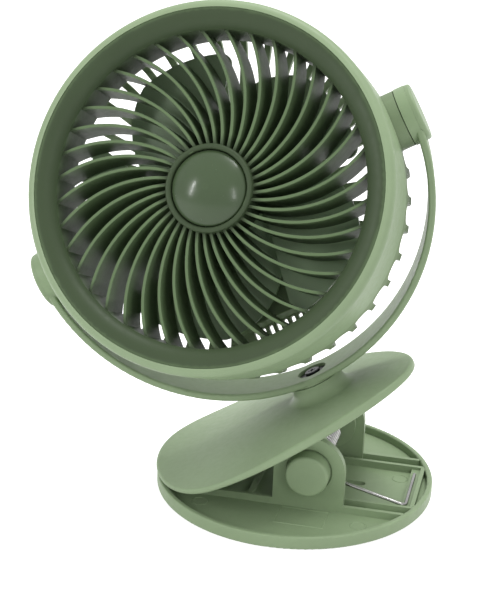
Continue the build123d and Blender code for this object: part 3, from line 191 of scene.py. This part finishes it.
def soft_edges(nodes, radius, samples):
    """Shading normal with the edges rounded by the radius."""
    node = nodes.new("ShaderNodeBevel")
    node.samples = samples
    node.inputs["Radius"].default_value = radius
    return node.outputs["Normal"]


def plastic(
    name,
    colour,
    roughness,
    grain=0.12,
    edge=0.25,
    coat=0.0,
    gloss=0.5,
    wear_and_sheen=0.35,
    wear_and_sheen_tint=1.28,
):
    """Moulded plastic: fine surface grain, faint flow marks, and softened edges made paler, partly by
    abrasion and partly as a painted highlight.

    edge is the edges' rounding in mm, wear the most that the paler edges show, and rubbed their tint.
    """
    material, nodes, links, shader = new_material(name)
    place = nodes.new("ShaderNodeTexCoord").outputs["Object"]
    cloud = noise(nodes, links, place, CLOUD_SCALE, 3.0)
    flow = noise(nodes, links, place, FLOW_SCALE, 5.0, 0.6)
    tone = patches(nodes, links, cloud, colour, CLOUD_TINTS)
    fleck = ramp(nodes, links, flow, 0.0, FLECK_SHARE, *FLECK_RANGE)
    tone = mix_colour(nodes, links, fleck, tone, tint(colour, FLECK_TINT))
    # Edges paler by pointiness: partly abrasion, partly a painted highlight standing in for light
    # catching the edges.
    sharp = nodes.new("ShaderNodeNewGeometry").outputs["Pointiness"]
    worn_and_highlit = ramp(nodes, links, sharp, 0.0, wear_and_sheen, WORN_AND_HIGHLIT_FROM, WORN_AND_HIGHLIT_TO)
    tone = mix_colour(nodes, links, worn_and_highlit, tone, tint(colour, wear_and_sheen_tint))
    links.new(tone, shader.inputs["Base Color"])
    gloss_low = roughness - PLASTIC_GLOSS_DROP
    gloss_high = roughness + PLASTIC_GLOSS_RISE
    links.new(ramp(nodes, links, flow, gloss_low, gloss_high), shader.inputs["Roughness"])
    shader.inputs["Specular IOR Level"].default_value = gloss
    shader.inputs["Coat Weight"].default_value = coat
    shader.inputs["Coat Roughness"].default_value = COAT_ROUGHNESS
    rounded = soft_edges(nodes, edge * MM, 6)
    fine = noise(nodes, links, place, GRAIN_SCALE, 2.0)
    links.new(bump(nodes, links, fine, grain, GRAIN_HEIGHT, rounded), shader.inputs["Normal"])
    return material


def metal(name, colour, roughness, scratch=0.2):
    """Bare metal with drawn scratches and a little staining."""
    material, nodes, links, shader = new_material(name)
    place = nodes.new("ShaderNodeTexCoord").outputs["Object"]
    stretch = nodes.new("ShaderNodeMapping")
    stretch.inputs["Scale"].default_value = DRAWN_STRETCH
    links.new(place, stretch.inputs["Vector"])
    drawn = noise(nodes, links, stretch.outputs["Vector"], DRAWN_SCALE, 4.0, 0.65)
    stain = noise(nodes, links, place, STAIN_SCALE, 4.0)
    tone = patches(nodes, links, stain, colour, STAIN_TINTS)
    links.new(tone, shader.inputs["Base Color"])
    shader.inputs["Metallic"].default_value = 1.0
    gloss_low = roughness - METAL_GLOSS_DROP
    gloss_high = roughness + METAL_GLOSS_RISE
    links.new(ramp(nodes, links, drawn, gloss_low, gloss_high), shader.inputs["Roughness"])
    rounded = soft_edges(nodes, METAL_EDGE, 4)
    links.new(bump(nodes, links, drawn, scratch, DRAWN_HEIGHT, rounded), shader.inputs["Normal"])
    return material


def circuit(name):
    """Green solder mask over faint copper runs."""
    material, nodes, links, shader = new_material(name)
    place = nodes.new("ShaderNodeTexCoord").outputs["Object"]
    cells = nodes.new("ShaderNodeTexVoronoi")
    cells.distance = "MANHATTAN"
    cells.feature = "DISTANCE_TO_EDGE"
    cells.inputs["Scale"].default_value = COPPER_SCALE
    links.new(place, cells.inputs["Vector"])
    run = ramp(nodes, links, cells.outputs["Distance"], 1.0, 0.0, *COPPER_EDGES)
    tone = mix_colour(nodes, links, run, BOARD_MASK, tint(BOARD_MASK, COPPER_TINT))
    links.new(tone, shader.inputs["Base Color"])
    shader.inputs["Roughness"].default_value = BOARD_ROUGHNESS
    links.new(bump(nodes, links, run, 0.3, COPPER_HEIGHT), shader.inputs["Normal"])
    return material


def foil(name):
    """Wrinkled pouch foil."""
    material, nodes, links, shader = new_material(name)
    place = nodes.new("ShaderNodeTexCoord").outputs["Object"]
    crease = noise(nodes, links, place, CREASE_SCALE, 6.0, 0.6)
    links.new(patches(nodes, links, crease, FOIL, CREASE_TINTS), shader.inputs["Base Color"])
    shader.inputs["Metallic"].default_value = 0.9
    links.new(ramp(nodes, links, crease, *FOIL_ROUGHNESS), shader.inputs["Roughness"])
    links.new(bump(nodes, links, crease, 0.5, CREASE_HEIGHT), shader.inputs["Normal"])
    return material


def clear_pipe(name):
    """Clear light pipe with tiny seed bubbles."""
    material, nodes, links, shader = new_material(name)
    place = nodes.new("ShaderNodeTexCoord").outputs["Object"]
    seeds = noise(nodes, links, place, SEED_SCALE, 2.0)
    tone = mix_colour(nodes, links, ramp(nodes, links, seeds, 0.0, 1.0), CLEAR, tint(CLEAR, SEED_TINT))
    links.new(tone, shader.inputs["Base Color"])
    shader.inputs["Transmission Weight"].default_value = 0.7
    links.new(ramp(nodes, links, seeds, *PIPE_ROUGHNESS), shader.inputs["Roughness"])
    return material


MATERIALS = {
    "pale_green_plastic": plastic("shell_green", PALE_GREEN, 0.44, gloss=0.25),
    # The grille's edges are painted far paler: a painted highlight on the vane fronts, beside some
    # abrasion.
    "grille_plastic": plastic("grille_green", GRILLE_GREEN, 0.46, gloss=0.2, wear_and_sheen=0.9, wear_and_sheen_tint=2.6),
    "cap_plastic": plastic("dome_green", CAP_GREEN, 0.22, grain=0.03, coat=0.08, gloss=0.3),
    "rear_plastic": plastic("rear_green", REAR_GREEN, 0.48, grain=0.2, gloss=0.2),
    "blade_plastic": plastic("blade_green", BLADE_GREEN, 0.38, gloss=0.3),
    "steel": metal("zinc_steel", STEEL, 0.28),
    # Partly painted shade: black oxide dark enough to read as the shaded swivel recess.
    "dark_steel": metal("black_oxide_and_painted_shade", PAINTED_SHADE_DARK_STEEL, 0.34),
    "spring_steel": metal("spring_wire", SPRING_STEEL, 0.20, 0.1),
    "brass_plated": metal("brass_plate", BRASS, 0.22),
    "bronze": metal("sintered_bronze", BRONZE, 0.5, 0.4),
    "magnet": plastic("ferrite", FERRITE, 0.55, grain=0.4, edge=0.1),
    "dark_plastic": plastic("dark_moulding", DARK_PLASTIC, 0.4),
    "board": circuit("circuit_mask"),
    "cell_wrap": foil("pouch_foil"),
    "light_pipe": clear_pipe("clear_pipe"),
}


def dress_frame():
    """Gives every node of the frame the material of its slot in the record."""
    slots = {row["node"]: row["material_slot"] for row in frame["record"]["subparts"]}
    for name, piece in frame["nodes"].items():
        material = MATERIALS[slots[name]]
        piece.data.materials.clear()
        piece.data.materials.append(material)


dress_frame()


# ------------------------------------------------------------------ mould marks in the tray
TRAY_FLOOR = 2.2 * MM
MARK_RISE = 0.16 * MM
MARK_ROOT = 0.05 * MM       # how deep the ridge's foot is set into the floor of the tray
MARK_WIDTH = 0.55 * MM
EJECTOR_RADIUS = 3.0 * MM
CIRCLE_STEPS = 48
EJECTOR_MARKS = ((-30.9, -30.4), (31.1, -32.4), (41.0, 10.3))   # mm
PATCH_MIDDLE = (9.3, -32.0)                                     # mm
PATCH_SIZE = (18.6, 12.6)                                       # mm


def add_ridge(mesh, loop_at):
    """A low closed ridge: loop_at gives its line, shifted outwards by a distance."""
    half = MARK_WIDTH / 2
    rows = ((-half, -MARK_ROOT), (-half / 3, MARK_RISE), (half / 3, MARK_RISE), (half, -MARK_ROOT))
    loops = []
    for shift, height in rows:
        loops.append([mesh.verts.new((x, y, TRAY_FLOOR + height)) for x, y in loop_at(shift)])
    for inner, outer in zip(loops, loops[1:]):
        count = len(inner)
        for i in range(count):
            j = (i + 1) % count
            mesh.faces.new((inner[i], outer[i], outer[j], inner[j]))


def circle_loop(x, y, radius):
    """The line of a ring around x, y."""
    def at(shift):
        steps = [2 * pi * i / CIRCLE_STEPS for i in range(CIRCLE_STEPS)]
        return [(x + (radius + shift) * cos(a), y + (radius + shift) * sin(a)) for a in steps]

    return at


def rectangle_loop(x, y, width, depth):
    """The line of a rectangle around x, y."""
    def at(shift):
        w = width / 2 + shift
        d = depth / 2 + shift
        return [(x + w, y + d), (x - w, y + d), (x - w, y - d), (x + w, y - d)]

    return at


def mesh_object(name, mesh_data, material, body):
    """Turns the built mesh into a named piece that rides on the body."""
    data = bpy.data.meshes.new(name)
    bmesh.ops.recalc_face_normals(mesh_data, faces=mesh_data.faces)
    mesh_data.to_mesh(data)
    mesh_data.free()
    data.materials.append(material)
    piece = bpy.data.objects.new(name, data)
    bpy.context.collection.objects.link(piece)
    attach(piece, body)


def add_tray_marks():
    """Ejector rings and the outline of an insert, as the moulding tool leaves them."""
    marks = bmesh.new()
    for x, y in EJECTOR_MARKS:
        add_ridge(marks, circle_loop(x * MM, y * MM, EJECTOR_RADIUS))
    x, y = PATCH_MIDDLE
    width, depth = PATCH_SIZE
    add_ridge(marks, rectangle_loop(x * MM, y * MM, width * MM, depth * MM))
    mesh_object("tray_mould_marks", marks, MATERIALS["pale_green_plastic"], "clip_base")


add_tray_marks()

# ------------------------------------------------------------------ floor, world and lamps
FLOOR_COLOUR = (0.80, 0.80, 0.80, 1)
FLOOR_HALF = 3.0            # metres
FIBRE_SCALE = 300.0
FIBRE_TINT = 0.99
FLOOR_GLOW = 0.66           # only for rays that show the backdrop, so that the paper reads white
WORLD_LIGHT = 0.80
FAN_MIDDLE = (0.0, 0.0, 0.10)
# name, place in metres, width, height, watts
LAMPS = (
    ("left_strip", (-0.70, -0.60, 0.42), 0.06, 0.4, 2.6),
    ("right_strip", (0.60, -0.80, 0.45), 0.06, 0.4, 1.2),
    ("top_softbox", (0.15, 0.20, 1.05), 0.8, 0.2, 7.0),
)


def backdrop_rays(nodes, links):
    """One for the rays that show the backdrop: straight, mirrored or through glass."""
    path = nodes.new("ShaderNodeLightPath")
    first = nodes.new("ShaderNodeMath")
    first.operation = "MAXIMUM"
    links.new(path.outputs["Is Camera Ray"], first.inputs[0])
    links.new(path.outputs["Is Glossy Ray"], first.inputs[1])
    both = nodes.new("ShaderNodeMath")
    both.operation = "MAXIMUM"
    links.new(first.outputs[0], both.inputs[0])
    links.new(path.outputs["Is Transmission Ray"], both.inputs[1])
    return both.outputs[0]


def add_floor():
    """A plain pale floor that reads white to the camera but keeps the fan's shadow."""
    mesh = bpy.data.meshes.new("floor")
    h = FLOOR_HALF
    mesh.from_pydata([(-h, -h, 0), (h, -h, 0), (h, h, 0), (-h, h, 0)], [], [(0, 1, 2, 3)])
    floor = bpy.data.objects.new("floor", mesh)
    bpy.context.collection.objects.link(floor)
    material, nodes, links, shader = new_material("floor_paper")
    place = nodes.new("ShaderNodeTexCoord").outputs["Object"]
    fibre = noise(nodes, links, place, FIBRE_SCALE, 4.0)
    tone = mix_colour(nodes, links, fibre, tint(FLOOR_COLOUR, FIBRE_TINT), FLOOR_COLOUR)
    links.new(tone, shader.inputs["Base Color"])
    shader.inputs["Roughness"].default_value = 0.9
    shader.inputs["Emission Color"].default_value = (1, 1, 1, 1)
    glow = nodes.new("ShaderNodeMath")
    glow.operation = "MULTIPLY"
    glow.inputs[1].default_value = FLOOR_GLOW
    links.new(backdrop_rays(nodes, links), glow.inputs[0])
    links.new(glow.outputs[0], shader.inputs["Emission Strength"])
    mesh.materials.append(material)


def add_world():
    """A grey dome of light that reads white where a ray shows the backdrop."""
    world = bpy.data.worlds.new("studio")
    bpy.context.scene.world = world
    world.use_nodes = True
    nodes = world.node_tree.nodes
    links = world.node_tree.links
    nodes.clear()
    output = nodes.new("ShaderNodeOutputWorld")
    light = nodes.new("ShaderNodeBackground")
    light.inputs["Color"].default_value = (1, 1, 1, 1)
    light.inputs["Strength"].default_value = WORLD_LIGHT
    seen = nodes.new("ShaderNodeBackground")
    seen.inputs["Color"].default_value = (1, 1, 1, 1)
    seen.inputs["Strength"].default_value = 1.0
    mix = nodes.new("ShaderNodeMixShader")
    links.new(backdrop_rays(nodes, links), mix.inputs[0])
    links.new(light.outputs[0], mix.inputs[1])
    links.new(seen.outputs[0], mix.inputs[2])
    links.new(mix.outputs[0], output.inputs["Surface"])


def add_lamp(name, at, width, height, power):
    """A soft rectangular lamp that looks at the fan."""
    data = bpy.data.lights.new(name, "AREA")
    data.shape = "RECTANGLE"
    data.size = width
    data.size_y = height
    data.energy = power
    lamp = bpy.data.objects.new(name, data)
    bpy.context.collection.objects.link(lamp)
    lamp.location = at
    lamp.rotation_euler = (Vector(FAN_MIDDLE) - Vector(at)).to_track_quat("-Z", "Y").to_euler()


add_floor()
add_world()
for lamp_settings in LAMPS:
    add_lamp(*lamp_settings)

bpy.context.scene.view_settings.view_transform = "Standard"
